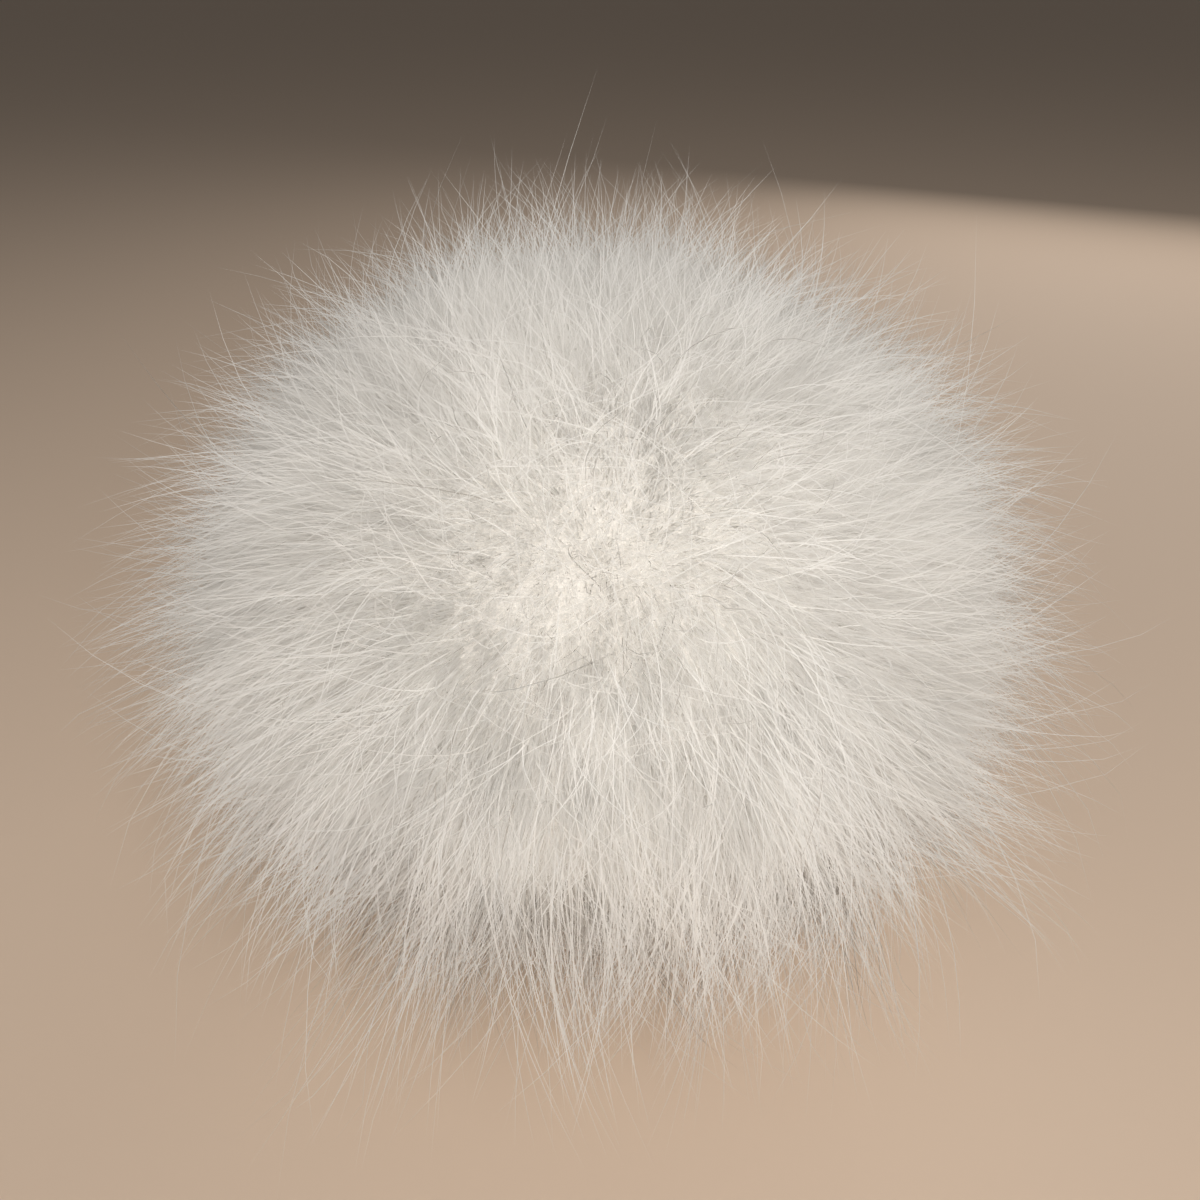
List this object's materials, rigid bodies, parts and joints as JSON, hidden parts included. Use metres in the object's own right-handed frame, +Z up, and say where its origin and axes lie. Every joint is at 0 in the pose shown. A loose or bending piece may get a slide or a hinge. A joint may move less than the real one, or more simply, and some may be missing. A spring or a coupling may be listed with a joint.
{
  "type": "fur pom pom",
  "caption": "Round ball of long, dense white fur for trimming hats, bags or key rings, at rest on its own soft, slightly flattened underside.",
  "frame": {"origin": "on the surface that the ball rests on, under the middle of its width and depth", "axes": "+Z up, the ball's shortest way because it is pressed flat where it rests; +X to the right and -Y to the front as it is first seen"},
  "size_m": [0.141, 0.1412, 0.1227],
  "materials": {
    "fur": "long dense white fur: soft matt underfur and finer, slightly glossy guard hairs"
  },
  "bodies": {
    "root": {"fur_ball": "fur"}
  },
  "joints": []
}
